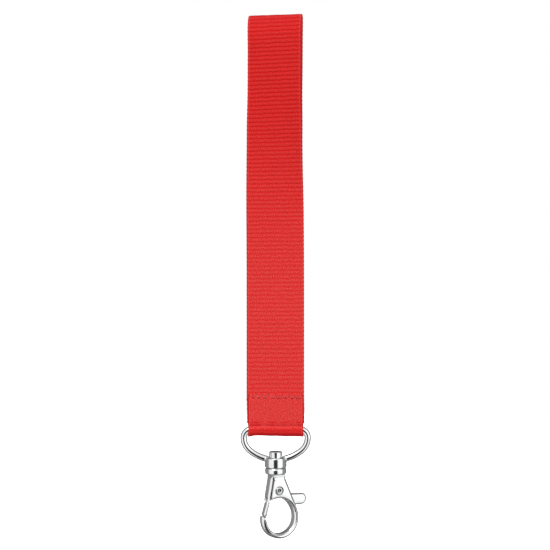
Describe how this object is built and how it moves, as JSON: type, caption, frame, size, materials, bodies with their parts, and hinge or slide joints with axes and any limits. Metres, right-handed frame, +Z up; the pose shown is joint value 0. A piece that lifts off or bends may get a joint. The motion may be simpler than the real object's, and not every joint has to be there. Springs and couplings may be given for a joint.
{
  "type": "lanyard",
  "caption": "Short wrist lanyard: a folded webbing loop sewn round a D-ring that carries a swivelling lobster hook with a spring trigger.",
  "frame": {"origin": "top of the webbing loop's fold, on the middle of its width and thickness, where the loop hangs", "axes": "+Z up along the strap, away from the hook; +X across the strap; the front face looks along -Y"},
  "size_m": [0.0252, 0.0107, 0.1873],
  "materials": {
    "ribbed_webbing": "ribbed polyester, dull sheen",
    "smooth_webbing": "fine woven polyester, dull sheen",
    "sewing_thread": "twisted polyester",
    "plated_casting": "bright nickel plate",
    "spring_wire": "drawn wire"
  },
  "bodies": {
    "strap": {"strap_loop": "ribbed_webbing", "ring_tab": "smooth_webbing", "needle_thread": "sewing_thread", "bobbin_thread": "sewing_thread"},
    "ring": {"d_ring": "plated_casting"},
    "hook": {"hook_body": "plated_casting", "swivel_post": "plated_casting", "trigger_pin": "plated_casting", "trigger_spring": "spring_wire"},
    "trigger": {"trigger": "plated_casting"}
  },
  "joints": [
    {"name": "ring_swing", "type": "hinge", "parent": "strap", "child": "ring", "pos_m": [0, 0, -0.1482], "axis": [1, 0, 0], "range_deg": [-135, 135]},
    {"name": "hook_swivel", "type": "hinge", "parent": "ring", "child": "hook", "pos_m": [0, 0, -0.1601], "axis": [0, 0, 1], "continuous": true},
    {"name": "trigger_press", "type": "hinge", "parent": "hook", "child": "trigger", "pos_m": [0.00018, 0.00009, -0.16995], "axis": [0.4695, -0.8829, 0], "range_deg": [0, 26], "stiffness_Nm_per_rad": 0.02, "springref_deg": -28.65, "deforming": ["trigger_spring"]}
  ]
}
